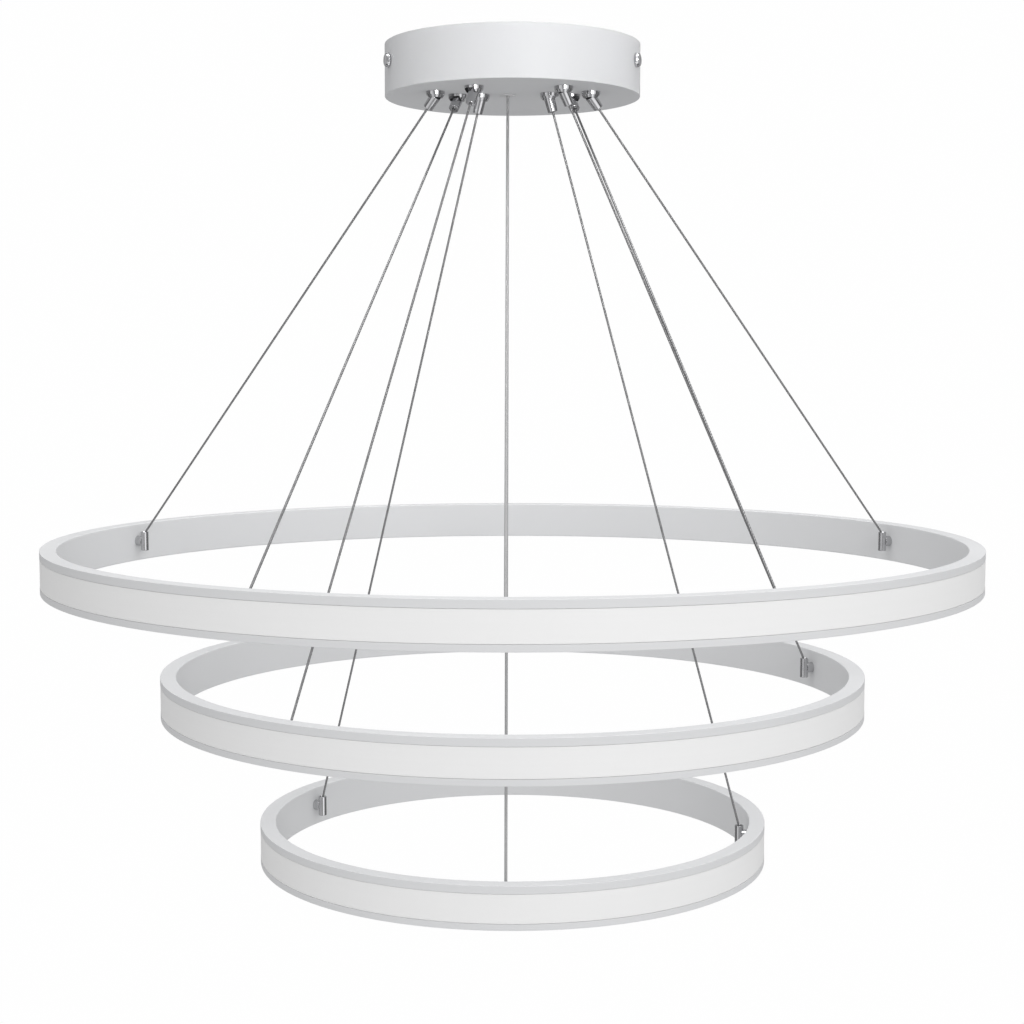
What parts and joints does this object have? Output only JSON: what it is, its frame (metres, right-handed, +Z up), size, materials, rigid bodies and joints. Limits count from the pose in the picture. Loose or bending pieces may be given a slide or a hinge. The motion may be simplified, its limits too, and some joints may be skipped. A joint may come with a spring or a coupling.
{
  "type": "led ring chandelier",
  "caption": "Ceiling light of stacked LED rings of falling size, hung on steel wires with swivelling grippers from a round ceiling cover.",
  "frame": {"origin": "on the ceiling plane, at the centre of the ceiling plate's two screw holes and of its cable hole", "axes": "+Z up, out of the ceiling plate's top face; -Y towards the front, where the leads leave the cover; +X to the right seen from the front"},
  "size_m": [0.7999, 0.8, 0.702],
  "materials": {
    "white_paint": "smooth white powder coat",
    "white_aluminium": "smooth white powder coat over extruded aluminium",
    "galvanised": "zinc-coated sheet",
    "zinc": "zinc-plated",
    "chrome": "polished",
    "wire": "stranded steel wire rope",
    "rubber": "matte black",
    "driver_case": "matte white case",
    "terminal_plastic": "natural nylon",
    "lead_plastic": "light grey sheath",
    "opal": "opal acrylic, satin",
    "board": "white solder mask"
  },
  "bodies": {
    "canopy": {"ceiling_cover": "white_paint", "ceiling_plate": "galvanised", "plate_lug_nuts": "zinc", "cover_side_screws": "chrome", "mains_grommet": "rubber", "led_driver": "driver_case", "driver_screws": "zinc", "earth_screw": "zinc", "terminal_block": "terminal_plastic", "gripper_collars": "chrome", "gripper_lock_nuts": "zinc", "lead_outlet_bush": "lead_plastic", "lead_clamp": "terminal_plastic", "steel_wire_large_rear_left": "wire", "steel_wire_large_front_left": "wire", "steel_wire_large_front_right": "wire", "steel_wire_large_rear_right": "wire", "steel_wire_middle_front_left": "wire", "steel_wire_middle_rear_right": "wire", "steel_wire_small_rear_left": "wire", "steel_wire_small_rear_right": "wire", "supply_lead_large": "lead_plastic", "supply_lead_middle": "lead_plastic", "supply_lead_small": "lead_plastic"},
    "barrel_large_rear_left": {"gripper_barrel_large_rear_left": "chrome"},
    "barrel_large_front_left": {"gripper_barrel_large_front_left": "chrome"},
    "barrel_large_front_right": {"gripper_barrel_large_front_right": "chrome"},
    "barrel_large_rear_right": {"gripper_barrel_large_rear_right": "chrome"},
    "barrel_middle_front_left": {"gripper_barrel_middle_front_left": "chrome"},
    "barrel_middle_rear_right": {"gripper_barrel_middle_rear_right": "chrome"},
    "barrel_small_rear_left": {"gripper_barrel_small_rear_left": "chrome"},
    "barrel_small_rear_right": {"gripper_barrel_small_rear_right": "chrome"},
    "large_ring": {"large_ring_channel": "white_aluminium", "large_ring_diffuser": "opal", "large_ring_led_boards": "board", "large_ring_wire_fittings": "chrome", "large_ring_fitting_screws": "zinc", "large_ring_lead_gland": "chrome", "large_ring_gland_nut": "zinc"},
    "middle_ring": {"middle_ring_channel": "white_aluminium", "middle_ring_diffuser": "opal", "middle_ring_led_boards": "board", "middle_ring_wire_fittings": "chrome", "middle_ring_fitting_screws": "zinc", "middle_ring_lead_gland": "chrome", "middle_ring_gland_nut": "zinc"},
    "small_ring": {"small_ring_channel": "white_aluminium", "small_ring_diffuser": "opal", "small_ring_led_boards": "board", "small_ring_wire_fittings": "chrome", "small_ring_fitting_screws": "zinc", "small_ring_lead_gland": "chrome", "small_ring_gland_nut": "zinc"}
  },
  "joints": [
    {"name": "large_ring_lift", "type": "slide", "parent": "canopy", "child": "large_ring", "axis": [0, 0, 1], "range_m": [0, 0.1], "deforming": ["steel_wire_large_rear_left", "steel_wire_large_front_left", "steel_wire_large_front_right", "steel_wire_large_rear_right", "supply_lead_large"]},
    {"name": "middle_ring_lift", "type": "slide", "parent": "canopy", "child": "middle_ring", "axis": [0, 0, 1], "range_m": [0, 0.1], "deforming": ["steel_wire_middle_front_left", "steel_wire_middle_rear_right", "supply_lead_middle"]},
    {"name": "small_ring_lift", "type": "slide", "parent": "canopy", "child": "small_ring", "axis": [0, 0, 1], "range_m": [0, 0.1], "deforming": ["steel_wire_small_rear_left", "steel_wire_small_rear_right", "supply_lead_small"]},
    {"name": "large_rear_left_gripper_swivel", "type": "hinge", "parent": "canopy", "child": "barrel_large_rear_left", "pos_m": [-0.0645, -0.038, -0.0484], "axis": [0.5316, 0.847, 0], "range_deg": [-0.5, 9.12]},
    {"name": "large_front_left_gripper_swivel", "type": "hinge", "parent": "canopy", "child": "barrel_large_front_left", "pos_m": [-0.0465, -0.02, -0.0484], "axis": [-0.9152, 0.4031, 0], "range_deg": [-0.5, 9.12]},
    {"name": "large_front_right_gripper_swivel", "type": "hinge", "parent": "canopy", "child": "barrel_large_front_right", "pos_m": [0.0495, -0.02, -0.0484], "axis": [-0.9184, -0.3957, 0], "range_deg": [-0.5, 9.12]},
    {"name": "large_rear_right_gripper_swivel", "type": "hinge", "parent": "canopy", "child": "barrel_large_rear_right", "pos_m": [0.0655, -0.037, -0.0484], "axis": [0.5226, -0.8526, 0], "range_deg": [-0.5, 9.12]},
    {"name": "middle_front_left_gripper_swivel", "type": "hinge", "parent": "canopy", "child": "barrel_middle_front_left", "pos_m": [-0.0315, -0.068, -0.0484], "axis": [-0.7588, 0.6513, 0], "range_deg": [-0.5, 5.5]},
    {"name": "middle_rear_right_gripper_swivel", "type": "hinge", "parent": "canopy", "child": "barrel_middle_rear_right", "pos_m": [0.042, -0.066, -0.0484], "axis": [0.5457, -0.838, 0], "range_deg": [-0.5, 6.26]},
    {"name": "small_rear_left_gripper_swivel", "type": "hinge", "parent": "canopy", "child": "barrel_small_rear_left", "pos_m": [-0.027, -0.02, -0.0484], "axis": [0.5914, 0.8064, 0], "range_deg": [-0.5, 3.43]},
    {"name": "small_rear_right_gripper_swivel", "type": "hinge", "parent": "canopy", "child": "barrel_small_rear_right", "pos_m": [0.031, -0.028, -0.0484], "axis": [0.0835, -0.9965, 0], "range_deg": [-0.5, 3.19]}
  ],
  "couplings": [
    {"joint": "large_rear_left_gripper_swivel", "follows": "large_ring_lift", "rad_per_m": 1.5049},
    {"joint": "large_front_left_gripper_swivel", "follows": "large_ring_lift", "rad_per_m": 1.5047},
    {"joint": "large_front_right_gripper_swivel", "follows": "large_ring_lift", "rad_per_m": 1.5048},
    {"joint": "large_rear_right_gripper_swivel", "follows": "large_ring_lift", "rad_per_m": 1.5051},
    {"joint": "middle_front_left_gripper_swivel", "follows": "middle_ring_lift", "rad_per_m": 0.8719},
    {"joint": "middle_rear_right_gripper_swivel", "follows": "middle_ring_lift", "rad_per_m": 1.005},
    {"joint": "small_rear_left_gripper_swivel", "follows": "small_ring_lift", "rad_per_m": 0.5106},
    {"joint": "small_rear_right_gripper_swivel", "follows": "small_ring_lift", "rad_per_m": 0.4689}
  ]
}
